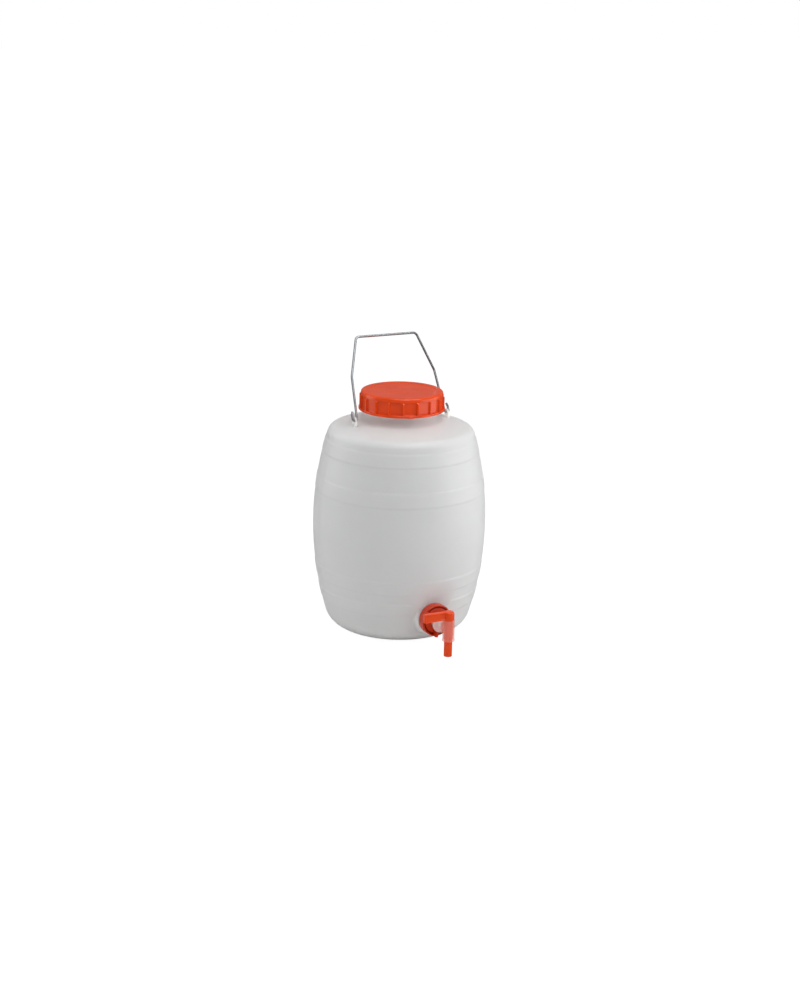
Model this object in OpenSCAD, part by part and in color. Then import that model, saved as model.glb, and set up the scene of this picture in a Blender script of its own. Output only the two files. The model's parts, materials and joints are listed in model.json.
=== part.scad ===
// Barrel-shaped 10 litre carboy: blown body, ribbed screw lid, wire bail and plug tap.
// +Z is up and the origin is the middle of the base. The tap points to -Y and the
// handle lugs stand on +X and -X. All sizes are in millimetres.

/* [Barrel] */
// Widest outside diameter
barrel_d = 235; // [228:1:242]
// Radius of the belly curve, seen from the side
belly_r = 436; // [420:4:460]
// Height of the widest point
belly_z = 146; // [143:1:149]
// Radius of the corner between wall and base
base_corner_r = 30; // [27:1:33]
// Radius of the edge between wall and shoulder
shoulder_edge_r = 13; // [10:1:16]
// Fall of the shoulder away from the neck, in degrees
shoulder_fall = 14; // [12:1:16]
// Height at which the shoulder would meet the neck
shoulder_z = 290; // [288:1:291]
// Thickness of the blown wall
wall = 2.2; // [1.8:0.1:2.6]
// How far the hoops stand out from the belly
hoop_rise = 0.6; // [0.4:0.1:1.2]
// Depth of the hollow under the base
base_hollow = 4; // [3:0.5:6]

/* [Neck and lid] */
// Outside diameter of the neck, without its thread
neck_d = 97.2; // [96:0.2:98]
// Thickness of the neck wall
neck_wall = 3.2; // [2.8:0.1:3.6]
// Height of the neck's rim above the floor
neck_top = 322.7; // [321:0.1:323]
// Thickness of the lid's sealing ring
lid_gasket_t = 2.5; // [2:0.5:2.5]
// Diameter of the lid over its bottom flange
lid_d = 116.4; // [116:0.2:118]
// Diameter of the lid over its grip ribs
lid_rib_d = 115.2; // [114.4:0.2:115.8]
// Height of the lid
lid_h = 25.6; // [24:0.2:26]
// Number of grip ribs
lid_ribs = 18; // [16:1:20]

/* [Handle] */
// Diameter of the wire
wire_d = 3.2; // [3:0.1:3.3]
// Distance from the lug holes up to the grip bar
handle_reach = 114; // [105:1:120]
// Length of the grip bar between its corners
grip_bar = 90; // [80:1:96]
// Half the distance between the two lugs
lug_x = 69; // [68:0.5:70]
// Height of the lug holes
lug_z = 292; // [291.5:0.1:292.5]
// Lean of the handle away from the tap, in degrees
handle_lean = 27; // [0:1:60]

/* [Tap] */
// Height of the tap's axis
tap_z = 39.5; // [38:0.5:41]
// Distance from the barrel's axis to the flat seat of the spout
seat_y = 106; // [104:0.5:107]
// Diameter of the union nut
nut_d = 43; // [40:0.5:44]
// Distance from the barrel's axis to the tap's sleeve
sleeve_y = 151; // [146:0.5:154]
// Outside diameter of the sleeve
sleeve_d = 15.6; // [15.2:0.1:16.4]
// Outside diameter of the nozzle, for a 10 mm hose
nozzle_d = 10.9; // [10.5:0.1:11.1]
// Height of the nozzle's tip above the floor
nozzle_tip = 1; // [0.5:0.5:4]
// Length of the lever, from the plug's axis to its tip
lever_l = 39.5; // [34:0.5:44]

/* [Hidden] */
$fn = 96;

natural_pe = [0.86, 0.87, 0.85];
orange_pe = [0.9, 0.3, 0.12];
grey_foam = [0.75, 0.75, 0.73];
zinc = [0.62, 0.65, 0.67];

// Hoops as pairs of heights, from the bottom up, and the slope at each of their edges
hoops = [[42.5, 60], [75, 93], [195, 214.5], [247, 264]];
hoop_edge = 2.4;

// Belly curve: its centre lies far inside the opposite wall
belly_c = [barrel_d / 2 - belly_r, belly_z];

// Base corner: an arc that runs from the floor into the belly curve
corner_x = belly_c[0] + sqrt(pow(belly_r - base_corner_r, 2) - pow(belly_z - base_corner_r, 2));
corner_c = [corner_x, base_corner_r];
corner_a = -asin((belly_z - base_corner_r) / (belly_r - base_corner_r));
foot_in = corner_x - 12;
foot_slope = 6;

// Shoulder: a cone that falls away from the neck, rounded into the belly curve
cone_n = [sin(shoulder_fall), cos(shoulder_fall)];
cone_u = [cos(shoulder_fall), -sin(shoulder_fall)];
neck_r = neck_d / 2;
cone_k = cone_n * [neck_r, shoulder_z];
edge_d = cone_k - shoulder_edge_r - cone_n * belly_c;
edge_c = belly_c + cone_n * edge_d + cone_u * sqrt(pow(belly_r - shoulder_edge_r, 2) - edge_d * edge_d);
edge_a = asin((edge_c[1] - belly_z) / (belly_r - shoulder_edge_r));

// Neck root: a hollow fillet between the cone and the neck
neck_fillet = 11;
root_c = [neck_r + neck_fillet, (cone_k + neck_fillet - cone_n[0] * (neck_r + neck_fillet)) / cone_n[1]];
rim_bevel = 0.9;

// Spout: a flat seat that stands proud at its foot and is let into the wall above
seat_r = 22.5;
seat_draft = 4;
seat_margin = 1;
pocket_draft = 32;
seat_depth = 16;
spout_d = 30.4;
spout_l = 6.4;
spout_bore = 20;

// Lugs
lug_t = 2.2;
lug_r = 4.6;
lug_w = 10;
lug_foot = 7;
lug_hole = 4.4;

// Lid
lid_top = neck_top + lid_gasket_t + 3;
lid_bottom = lid_top - lid_h;
lid_inner_r = 51.4;
lid_plate = 3;
lid_band_r = 55.4;
lid_panel_r = 54;
lid_flange_h = 3.2;
rib_top = 5.5;
rib_w = 3.4;
seal_ring_h = 5;
nose_a = -14.3;
rib_a = 5.7;

// Wire handle: the hooks at its ends pass through the lugs
hook_gap = 5.8;
bend_lap = 0.05;
bend_thin = 0.03;
hook_r = 2.4;
hook_l = 12.5;
hook_rise = 8;
hook_pinch = 1.4;
shoulder_half = 62;
shoulder_reach = 60;

// Tap: distances along its axis are measured from the barrel's axis
spout_end = seat_y + spout_l;
tap_gasket_t = 1.6;
collar_y = spout_end + tap_gasket_t;
collar_t = 2.4;
collar_d = 29;
tail_d = 16.4;
nut_back = seat_y + 1.2;
nut_front = collar_y + collar_t + 2.6;
nut_hole = 18;
nut_rim = 2;
nut_dish = 4.5;
nut_fins = 3;
fin_first = 20;
fin_rise = 7;
fin_t = 3.4;
sleeve_top = 51.5;
sleeve_bottom = 22.5;
sleeve_flare = 0.5;
plug_d = 11.6;
plug_bore = 7.4;
fit_gap = 0.3;
head_d = 14.2;
head_h = 12;
lever_t = 6.4;
lever_root_h = 10.5;
lever_tip_h = 13;
lever_panel = 0.9;

// A point of the belly curve at height z, moved outward along its normal
function belly_point(z, lift) =
    let (a = asin((z - belly_z) / belly_r))
    belly_c + (belly_r + lift) * [cos(a), sin(a)];

function arc(c, r, from, to, steps) =
    [for (i = [0:steps]) let (a = from + (to - from) * i / steps) c + r * [cos(a), sin(a)]];

// Heights between two hoops, or past the last one, at which the plain belly is drawn
function plain_levels(from, to) =
    let (n = max(1, ceil((to - from) / 14)))
    [for (i = [1:n - 1]) from + (to - from) * i / n];

function hoop_points(h, inset) = [
    belly_point(h[0] - hoop_edge / 2, -inset),
    belly_point(h[0] + hoop_edge / 2, hoop_rise - inset),
    belly_point((h[0] + h[1]) / 2, hoop_rise - inset),
    belly_point(h[1] - hoop_edge / 2, hoop_rise - inset),
    belly_point(h[1] + hoop_edge / 2, -inset)];

// The barrel's outline from the middle of the base to the neck, moved inward by inset
function outline(inset) = concat(
    [[0, base_hollow + inset],
     [foot_in - foot_slope, base_hollow + inset],
     [foot_in + inset / 2, inset],
     [corner_x, inset]],
    arc(corner_c, base_corner_r - inset, -82, corner_a, 8),
    [for (i = [0:len(hoops) - 1]) each concat(
        hoop_points(hoops[i], inset),
        i < len(hoops) - 1
            ? [for (z = plain_levels(hoops[i][1], hoops[i + 1][0])) belly_point(z, -inset)]
            : [])],
    arc(edge_c, shoulder_edge_r - inset, edge_a, 90 - shoulder_fall, 6),
    arc(root_c, neck_fillet + inset, 270 - shoulder_fall, 180, 5));

function flip(points) = [for (i = [len(points) - 1:-1:0]) points[i]];

// Stands a shape on the tap's axis: its own +Z becomes the way out of the barrel
module on_tap_axis(from) {
    translate([0, -from, tap_z])
        rotate([90, 0, 0])
            children();
}

module ring(d_out, d_in, h) {
    difference() {
        cylinder(d = d_out, h = h);
        translate([0, 0, -1])
            cylinder(d = d_in, h = h + 2);
    }
}

// The barrel's form as a solid, moved inward by inset, with its neck carried up to a height
module barrel_form(inset, neck_inset, top) {
    rotate_extrude()
        polygon(concat(
            outline(inset),
            [[neck_r - neck_inset, root_c[1] + 2], [neck_r - neck_inset, top - rim_bevel],
             [neck_r - neck_inset - rim_bevel, top], [0, top]]));
}

// Room in front of the seat, for the nut
module seat_pocket(grow) {
    mouth = seat_r + seat_margin + grow;
    on_tap_axis(seat_y - grow)
        cylinder(r1 = mouth, r2 = mouth + pocket_draft, h = seat_depth + grow);
}

// Tapered boss behind the seat, drawn solid and moved inward by inset
module seat_boss(inset) {
    on_tap_axis(seat_y - seat_depth - inset)
        cylinder(r1 = seat_r + seat_draft - inset, r2 = seat_r - inset, h = seat_depth);
}

module lug() {
    translate([lug_x - lug_t / 2, 0, lug_z])
        rotate([90, 0, 90])
            linear_extrude(lug_t)
                polygon(concat(
                    [[-lug_w / 2, -lug_foot]],
                    [for (a = [170:-16:10]) lug_r * [cos(a), sin(a)]],
                    [[lug_w / 2, -lug_foot]]));
}

module lug_bore() {
    translate([lug_x - 4, 0, lug_z])
        rotate([0, 90, 0])
            cylinder(d = lug_hole, h = 8);
}

module barrel_shell() {
    difference() {
        union() {
            barrel_form(0, 0, neck_top);
            seat_boss(0);
        }
        seat_pocket(0);
        difference() {
            barrel_form(wall, neck_wall, neck_top + 5);
            seat_pocket(wall);
        }
        seat_boss(wall);
    }
}

module barrel() {
    color(natural_pe)
    difference() {
        union() {
            barrel_shell();
            on_tap_axis(seat_y - wall / 2)
                cylinder(d = spout_d, h = spout_l + wall / 2);
            lug();
            mirror([1, 0, 0]) lug();
        }
        on_tap_axis(seat_y - 4)
            cylinder(d = spout_bore, h = spout_l + 6);
        lug_bore();
        mirror([1, 0, 0]) lug_bore();
    }
}

// One grip rib, drawn from above with its root inside the skirt
module rib_plan() {
    root = lid_panel_r - 1.2;
    polygon([
        [root, -rib_w / 2 - 0.4], [lid_rib_d / 2 - 0.5, -rib_w / 2 + 0.3], [lid_rib_d / 2, -rib_w / 2 + 0.8],
        [lid_rib_d / 2, rib_w / 2 - 0.8], [lid_rib_d / 2 - 0.5, rib_w / 2 - 0.3], [root, rib_w / 2 + 0.4]]);
}

module lid_ribs_ring() {
    intersection() {
        for (i = [0:lid_ribs - 1])
            rotate([0, 0, rib_a + i * 360 / lid_ribs])
                translate([0, 0, lid_bottom + 1])
                    linear_extrude(lid_h - rib_top + 1)
                        rib_plan();
        rotate_extrude()
            polygon([
                [lid_inner_r + 1, lid_bottom + 1], [lid_rib_d / 2, lid_bottom + 1],
                [lid_rib_d / 2, lid_top - rib_top - 1.2], [lid_band_r - 1, lid_top - rib_top + 1.2],
                [lid_inner_r + 1, lid_top - rib_top + 1.2]]);
    }
}

// Skirt with one flat panel between each two ribs
module lid_skirt() {
    corner = lid_panel_r / cos(180 / lid_ribs);
    translate([0, 0, lid_bottom + 1])
        linear_extrude(lid_h - 5)
            polygon([for (i = [0:lid_ribs - 1])
                let (a = rib_a + i * 360 / lid_ribs) corner * [cos(a), sin(a)]]);
}

// Top, rounded band and bottom flange, as one turned form
module lid_turned() {
    edge_r = 3;
    top_flat = lid_band_r - edge_r;
    well_r = 46;
    rotate_extrude()
        polygon(concat(
            [[0, lid_top - lid_plate], [0, lid_top - 0.7], [well_r, lid_top - 0.7], [well_r + 0.8, lid_top]],
            arc([top_flat, lid_top - edge_r], edge_r, 90, 0, 6),
            [[lid_band_r, lid_top - rib_top], [lid_panel_r - 1, lid_top - rib_top - 0.6],
             [lid_inner_r + 0.6, lid_top - rib_top - 0.6], [lid_inner_r + 0.6, lid_top - lid_plate]]));
    rotate_extrude()
        polygon([
            [lid_inner_r + 0.6, lid_bottom], [lid_d / 2 - 0.6, lid_bottom], [lid_d / 2, lid_bottom + 0.6],
            [lid_d / 2, lid_bottom + lid_flange_h - 0.8], [lid_d / 2 - 0.8, lid_bottom + lid_flange_h],
            [lid_inner_r + 0.6, lid_bottom + lid_flange_h + 0.4]]);
}

// Small nose on the flange that shows where the thread starts
module lid_nose() {
    rotate([0, 0, nose_a])
        translate([-4.5, -lid_d / 2 - 1.4, lid_bottom - 1])
            cube([9, 5, 3]);
}

module lid() {
    color(orange_pe) {
        difference() {
            union() {
                lid_turned();
                lid_skirt();
                lid_ribs_ring();
                lid_nose();
            }
            translate([0, 0, lid_bottom - 2])
                cylinder(r = lid_inner_r, h = lid_h - lid_plate + 2);
        }
        translate([0, 0, lid_top - lid_plate - seal_ring_h])
            ring(2 * (neck_r - neck_wall) - 2.4, 2 * (neck_r - neck_wall) - 6, seal_ring_h + 1);
    }
}

module lid_gasket() {
    color(grey_foam)
        translate([0, 0, neck_top])
            ring(2 * neck_r + 0.6, 2 * (neck_r - neck_wall) - 0.6, lid_gasket_t);
}

// Round wire bent in one plane: straight runs and true arcs through the given corners.
// Each run reaches a little way into its bends, which are drawn a hair thinner.
module bent_wire(points, radii, d) {
    n = len(points);
    heading = [for (i = [0:n - 2])
        let (s = points[i + 1] - points[i]) atan2(s[1], s[0])];
    turn = [for (i = [1:n - 2])
        let (t = heading[i] - heading[i - 1]) t > 180 ? t - 360 : t < -180 ? t + 360 : t];
    trim = concat([0], [for (i = [0:n - 3]) radii[i] * tan(abs(turn[i]) / 2)], [0]);
    for (i = [0:n - 2]) {
        way = [cos(heading[i]), sin(heading[i])];
        start = points[i] + way * (trim[i] - (i > 0 ? bend_lap : 0));
        laps = (i > 0 ? bend_lap : 0) + (i < n - 2 ? bend_lap : 0);
        run = norm(points[i + 1] - points[i]) - trim[i] - trim[i + 1] + laps;
        translate([start[0], start[1], 0])
            rotate([0, 90, heading[i]])
                cylinder(d = d, h = run);
    }
    for (i = [0:n - 3]) {
        side = turn[i] > 0 ? 1 : -1;
        way = [cos(heading[i]), sin(heading[i])];
        centre = points[i + 1] - way * trim[i + 1] + side * radii[i] * [-way[1], way[0]];
        first = side > 0 ? heading[i] - 90 : heading[i] + 90 - abs(turn[i]);
        translate([centre[0], centre[1], 0])
            rotate([0, 0, first])
                rotate_extrude(angle = abs(turn[i]))
                    translate([radii[i], 0])
                        circle(d = d - bend_thin);
    }
}

module handle() {
    inner = lug_x - hook_gap / 2;
    outer = lug_x + hook_gap / 2;
    half = [
        [outer - hook_pinch, hook_l], [outer, hook_rise], [outer, 0], [inner, 0],
        [shoulder_half, shoulder_reach], [grip_bar / 2, handle_reach]];
    other = [for (p = flip(half)) [-p[0], p[1]]];
    bends = [4, hook_r, hook_r, 12, 6];
    color(zinc)
        translate([0, 0, lug_z])
            rotate([90 - handle_lean, 0, 0])
                bent_wire(concat(half, other), concat(bends, flip(bends)), wire_d);
}

module tap_body() {
    color(natural_pe)
    difference() {
        union() {
            on_tap_axis(collar_y)
                cylinder(d = collar_d, h = collar_t);
            on_tap_axis(collar_y)
                cylinder(d = tail_d, h = sleeve_y - collar_y);
            translate([0, -sleeve_y, sleeve_bottom + 3])
                cylinder(d = sleeve_d, h = sleeve_top - sleeve_bottom - 3);
            translate([0, -sleeve_y, sleeve_bottom])
                cylinder(d1 = sleeve_d + 2 * sleeve_flare, d2 = sleeve_d, h = 3);
        }
        on_tap_axis(collar_y - 1)
            cylinder(d = tail_d - 4.4, h = sleeve_y - collar_y + 1);
        translate([0, -sleeve_y, sleeve_bottom - 1])
            cylinder(d = plug_d + 2 * fit_gap, h = sleeve_top - sleeve_bottom + 2);
    }
}

module tap_gasket() {
    color(grey_foam)
        on_tap_axis(spout_end)
            ring(collar_d, spout_bore, tap_gasket_t);
}

module nut_fin() {
    // Drawn with x out from the axis and y along it, then given its thickness
    rotate([90, 0, 0])
        translate([0, 0, -fin_t / 2])
            linear_extrude(fin_t)
                polygon([
                    [nut_hole / 2 + 0.6, -1.5], [spout_d / 2 + 1.6, -1.5],
                    [spout_d / 2 + 1.6, -nut_dish - 1], [nut_d / 2, -nut_dish - 1],
                    [nut_d / 2, fin_rise - 1.5], [nut_d / 2 - 1.5, fin_rise],
                    [nut_d / 2 - 5, fin_rise], [nut_hole / 2 + 0.6, 1.5]]);
}

module tap_nut() {
    depth = nut_front - nut_back;
    socket = collar_y + collar_t - nut_back + 0.1;
    color(orange_pe)
        on_tap_axis(nut_back) {
            difference() {
                cylinder(d = nut_d, h = depth);
                translate([0, 0, -1])
                    cylinder(d = spout_d + 1.6, h = socket + 1);
                translate([0, 0, -1])
                    cylinder(d = nut_hole, h = depth + 2);
                translate([0, 0, depth - nut_dish])
                    ring(nut_d - 2 * nut_rim, spout_d + 4.6, nut_dish + 1);
            }
            translate([0, 0, depth])
                for (i = [0:nut_fins - 1])
                    rotate([0, 0, fin_first + i * 360 / nut_fins])
                        nut_fin();
        }
}

// Lever plate seen from the front: level along the top, deeper towards its tip
module lever_plan(inset) {
    top = head_h - 0.4;
    root = -head_d / 4;
    polygon([
        [root, top - lever_root_h + inset], [root, top - inset],
        [-lever_l + inset + 1, top - inset], [-lever_l + inset, top - inset - 1],
        [-lever_l + inset, top - lever_tip_h + inset + 1], [-lever_l + inset + 1, top - lever_tip_h + inset]]);
}

module lever() {
    difference() {
        translate([0, lever_t / 2, 0])
            rotate([90, 0, 0])
                linear_extrude(lever_t)
                    lever_plan(0);
        for (side = [-1, 1])
            translate([0, side * (lever_t / 2) + lever_panel, 0])
                rotate([90, 0, 0])
                    linear_extrude(2 * lever_panel)
                        translate([-head_d / 4, 0])
                            lever_plan(1.6);
    }
}

module tap_plug() {
    color(orange_pe)
        translate([0, -sleeve_y, 0])
            difference() {
                union() {
                    translate([0, 0, nozzle_tip])
                        cylinder(d = nozzle_d, h = sleeve_top - nozzle_tip - 1);
                    translate([0, 0, sleeve_bottom + 0.5])
                        cylinder(d = plug_d, h = sleeve_top - sleeve_bottom + 1);
                    translate([0, 0, sleeve_top + fit_gap])
                        rotate_extrude()
                            polygon(concat(
                                [[0, 0], [head_d / 2, 0]],
                                arc([head_d / 2 - 4, head_h - 4], 4, 0, 90, 5),
                                [[0, head_h]]));
                    translate([0, 0, sleeve_top + fit_gap])
                        lever();
                }
                translate([0, 0, nozzle_tip - 1])
                    cylinder(d = plug_bore, h = tap_z - nozzle_tip + 1 + plug_bore / 2);
                translate([0, 0, tap_z])
                    rotate([0, 90, 0])
                        cylinder(d = plug_bore, h = plug_d);
            }
}

barrel();
lid();
lid_gasket();
handle();
tap_body();
tap_gasket();
tap_nut();
tap_plug();
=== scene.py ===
# %% [markdown]
# # A barrel-shaped carboy with a tap
# The object is a ten litre barrel of natural polyethylene. It has an orange screw lid, a
# wire bail handle and a plug tap near the floor. The construction model gives every piece
# its real size and place, and it is loaded here as a fixed frame. All that follows is the
# look of the thing: finer meshes for the moulded pieces, their materials, light and camera.

# %% Load the frame
import json
import math

import bmesh
import bpy
import numpy as np
from mathutils import Matrix, Vector

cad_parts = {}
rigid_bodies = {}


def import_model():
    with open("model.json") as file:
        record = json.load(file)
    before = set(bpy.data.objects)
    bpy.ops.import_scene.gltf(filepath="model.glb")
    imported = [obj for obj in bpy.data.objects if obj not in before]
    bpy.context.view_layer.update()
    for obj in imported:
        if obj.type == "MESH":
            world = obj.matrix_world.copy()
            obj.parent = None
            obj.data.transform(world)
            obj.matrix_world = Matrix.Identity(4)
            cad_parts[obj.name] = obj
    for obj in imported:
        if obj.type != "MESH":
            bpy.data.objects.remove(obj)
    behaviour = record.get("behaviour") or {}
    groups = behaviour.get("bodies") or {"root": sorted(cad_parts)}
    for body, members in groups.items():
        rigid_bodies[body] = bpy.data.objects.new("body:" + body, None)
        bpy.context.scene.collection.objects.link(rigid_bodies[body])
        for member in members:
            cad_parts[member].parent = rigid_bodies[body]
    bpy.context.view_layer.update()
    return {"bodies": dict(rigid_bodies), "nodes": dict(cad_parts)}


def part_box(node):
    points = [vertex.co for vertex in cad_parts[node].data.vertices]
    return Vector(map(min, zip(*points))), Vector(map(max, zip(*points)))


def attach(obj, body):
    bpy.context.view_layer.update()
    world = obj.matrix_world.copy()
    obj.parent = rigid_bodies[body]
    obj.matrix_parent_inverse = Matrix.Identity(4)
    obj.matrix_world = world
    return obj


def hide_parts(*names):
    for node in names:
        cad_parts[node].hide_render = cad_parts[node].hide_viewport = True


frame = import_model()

print("nodes:", sorted(frame["nodes"]))

# %% Clear what Blender starts with
kept = set(frame["nodes"].values()) | set(frame["bodies"].values())
for spare in [o for o in bpy.data.objects if o not in kept]:
    bpy.data.objects.remove(spare)

# %% [markdown]
# ## Camera
# A camera is easiest to place by what it looks at. This one aims at a point on the
# barrel's axis, from a distance, an azimuth and an elevation. Long focal lengths flatten
# the perspective, as in a product picture. The small roll tilts the whole picture.

# %% Camera
mm = 0.001
picture = (800, 1000)
focal_px = 1900
aim_px = (399.4, 507.6)
aim = Vector((0, 0, 163.75 * mm))
camera_distance = 2592.7 * mm
camera_azimuth = math.radians(-26.9)
camera_elevation = math.radians(16.42)
camera_roll = math.radians(1.31)
sensor = 36


def direction(azimuth, elevation):
    """Unit vector from the object: azimuth 0 is the tap's side, -Y, and it grows towards +X."""
    flat = math.cos(elevation)
    return Vector((math.sin(azimuth) * flat, -math.cos(azimuth) * flat, math.sin(elevation)))


lens = bpy.data.cameras.new("camera")
lens.sensor_width = sensor
lens.lens = sensor * focal_px / max(picture)
lens.shift_x = (picture[0] / 2 - aim_px[0]) / max(picture)
lens.shift_y = (aim_px[1] - picture[1] / 2) / max(picture)
lens.clip_start, lens.clip_end = 0.05, 100
camera = bpy.data.objects.new("camera", lens)
bpy.context.scene.collection.objects.link(camera)
to_camera = direction(camera_azimuth, camera_elevation)
level = (-to_camera).to_track_quat("-Z", "Y").to_matrix()
camera.matrix_world = (
    Matrix.Translation(aim + to_camera * camera_distance)
    @ (level @ Matrix.Rotation(camera_roll, 3, "Z")).to_4x4())
bpy.context.scene.camera = camera
print(f"lens {lens.lens:.1f} mm at {camera_distance:.2f} m")

# %% [markdown]
# ## Shapes with few helpers
# Moulded ware is mostly turned: a profile goes round an axis. So one helper, `surface`,
# lays a skin over rings of points, and nearly every piece here is a stack of rings.
# `rounded` gives a profile its small radii, because no moulded edge is sharp, and those
# radii are what catches the light.

# %% Rings of points and the skin over them
def smooth_step(t):
    """0 up to t = 0, 1 from t = 1, with a soft start and end between them."""
    t = np.clip(t, 0, 1)
    return t * t * (3 - 2 * t)


def arc(centre, radius, start, end, steps):
    """Points of an arc, angles in degrees."""
    a = np.radians(np.linspace(start, end, steps + 1))
    return np.array(centre) + radius * np.stack([np.cos(a), np.sin(a)], 1)


def surface(name, rings, ends):
    """A mesh over rings of points. It closes with flat ends (cap), in a point on its axis at
    each end (pole), or back on itself (loop)."""
    rings = np.asarray(rings, float)
    body = rings[1:-1] if ends == "pole" else rings
    count, around = body.shape[:2]
    points = body.reshape(-1, 3).tolist()
    faces = []
    for i in range(count if ends == "loop" else count - 1):
        a, b = i * around, (i + 1) % count * around
        faces += [(a + j, a + (j + 1) % around, b + (j + 1) % around, b + j) for j in range(around)]
    last = (count - 1) * around
    if ends == "cap":
        faces += [tuple(range(around)), tuple(range(last + around - 1, last - 1, -1))]
    if ends == "pole":
        points += [rings[0, 0].tolist(), rings[-1, 0].tolist()]
        tips = (len(points) - 2, len(points) - 1)
        faces += [((j + 1) % around, j, tips[0]) for j in range(around)]
        faces += [(last + j, last + (j + 1) % around, tips[1]) for j in range(around)]
    mesh = bpy.data.meshes.new(name)
    mesh.from_pydata(points, [], faces)
    return tidy_normals(bpy.data.objects.new(name, mesh))


def tidy_normals(piece):
    """Turns every face outward and shades the piece smooth, with real corners kept."""
    work = bmesh.new()
    work.from_mesh(piece.data)
    bmesh.ops.recalc_face_normals(work, faces=work.faces)
    work.to_mesh(piece.data)
    work.free()
    piece.data.shade_smooth()
    piece.data.set_sharp_from_angle(angle=math.radians(42))
    if piece.name not in bpy.context.scene.collection.objects:
        bpy.context.scene.collection.objects.link(piece)
    return piece


print("an arc of 4 steps has", len(arc((0, 0), 1, 0, 90, 4)), "points")


# %% Rounded corners
def rounded(corners, radii, steps=5, closed=False):
    """A polyline with an arc of its own radius at each corner. An open one keeps its two ends."""
    corners = np.array(corners, float)
    count = len(corners)
    radii = np.broadcast_to(np.array(radii, float), count if closed else count - 2)
    out = []
    for i in range(count):
        if not closed and i in (0, count - 1):
            out.append(corners[i])
            continue
        here, radius = corners[i], radii[i if closed else i - 1]
        before, after = corners[i - 1] - here, corners[(i + 1) % count] - here
        before, after = before / np.linalg.norm(before), after / np.linalg.norm(after)
        half = math.acos(np.clip(before @ after, -1, 1)) / 2
        if radius < 1e-9 or half > math.radians(89.5):
            out.append(here)
            continue
        centre = here + (before + after) / np.linalg.norm(before + after) * radius / math.sin(half)
        first = here + before * radius / math.tan(half) - centre
        last = here + after * radius / math.tan(half) - centre
        a, b = math.atan2(first[1], first[0]), math.atan2(last[1], last[0])
        turn = (b - a + math.pi) % (2 * math.pi) - math.pi
        for t in np.linspace(0, 1, steps + 1):
            out.append(centre + radius * np.array([math.cos(a + turn * t), math.sin(a + turn * t)]))
    return np.array(out)


def inset(corners, amount):
    """A closed outline, drawn anticlockwise, with each side moved inward by amount."""
    corners = np.array(corners, float)
    sides = np.roll(corners, -1, 0) - corners
    sides /= np.linalg.norm(sides, axis=1)[:, None]
    normals = np.stack([-sides[:, 1], sides[:, 0]], 1)
    moved = corners + normals * amount
    out = []
    for i in range(len(corners)):
        j = i - 1
        grid = np.stack([normals[j], normals[i]])
        out.append(np.linalg.solve(grid, [normals[j] @ moved[j], normals[i] @ moved[i]]))
    return np.array(out)


print("a rounded square has", len(rounded([(0, 0), (1, 0), (1, 1), (0, 1)], 0.1, 5, True)), "points")


# %% Turned, carved and placed pieces
def full_turn(steps):
    return np.radians(np.arange(steps) * 360 / steps)


def turned(name, profile, ends, angles=full_turn(96)):
    """A profile of (radius, height) points, in metres, turned about +Z."""
    profile = np.asarray(profile, float)
    r, z = profile[:, :1], profile[:, 1:]
    rings = np.stack([r * np.cos(angles), r * np.sin(angles), z + 0 * angles], 2)
    return surface(name, rings, ends)


def rod(name, radius, start, end, angles=full_turn(96)):
    """A plain round rod along +Z, to carve a bore with."""
    return turned(name, [(0, start), (radius, start), (radius, end), (0, end)], "pole", angles)


def plate(name, outline, radius, stations, place):
    """A slab with a rounded outline. Each station is (inset, height), and place gives its way
    into the frame: a 4 x 4 matrix for (outline x, outline y, height)."""
    rings = []
    for amount, height in stations:
        flat = rounded(inset(outline, amount), radius, 5, True)
        rings.append([place @ Vector((x, y, height)) for x, y in flat])
    return surface(name, rings, "cap")


def on_axis(piece, place):
    """Moves a piece's mesh, so that the object itself stays at the origin."""
    piece.data.transform(place)
    return tidy_normals(piece)


def combine(piece, other, how):
    """Adds another mesh to a piece or carves it away, and keeps the result as plain mesh."""
    step = piece.modifiers.new(how, "BOOLEAN")
    step.operation, step.object, step.solver = how, other, "EXACT"
    bpy.context.view_layer.update()
    made = piece.evaluated_get(bpy.context.evaluated_depsgraph_get())
    mesh = bpy.data.meshes.new_from_object(made)
    piece.modifiers.clear()
    piece.data = mesh
    bpy.data.objects.remove(other)
    return tidy_normals(piece)


print("helpers ready")

# %% [markdown]
# ## Materials
# Each finish is one Principled shader with a little procedural variation. Natural
# polyethylene lets light in, so it gets subsurface scattering, a satin surface and a very
# soft ripple from blow moulding. The orange pieces are dense and glossier. The nut wears a
# darker copy of the same orange, as painted shade from the lever and the plug's head above
# it. The tap's body is natural plastic too, but thin and clear enough to show the plug inside
# it, and near the plug's axis its colour is painted with the plug's orange, as painted light
# seen through the wall.

# %% One shader with its fixed values
def plain_finish(name, sockets):
    material = bpy.data.materials.new(name)
    material.use_nodes = True
    shader = material.node_tree.nodes["Principled BSDF"]
    for socket, value in sockets.items():
        shader.inputs[socket].default_value = value
    return material, shader


def noise(material, scale, detail=3.0, stretch=(1, 1, 1)):
    """Noise over the piece's own coordinates, in metres: scale is its waves per metre."""
    nodes, links = material.node_tree.nodes, material.node_tree.links
    where = nodes.new("ShaderNodeTexCoord")
    mapping = nodes.new("ShaderNodeMapping")
    mapping.inputs["Scale"].default_value = stretch
    pattern = nodes.new("ShaderNodeTexNoise")
    pattern.inputs["Scale"].default_value = scale
    pattern.inputs["Detail"].default_value = detail
    links.new(where.outputs["Object"], mapping.inputs["Vector"])
    links.new(mapping.outputs["Vector"], pattern.inputs["Vector"])
    return pattern.outputs["Fac"]


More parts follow.
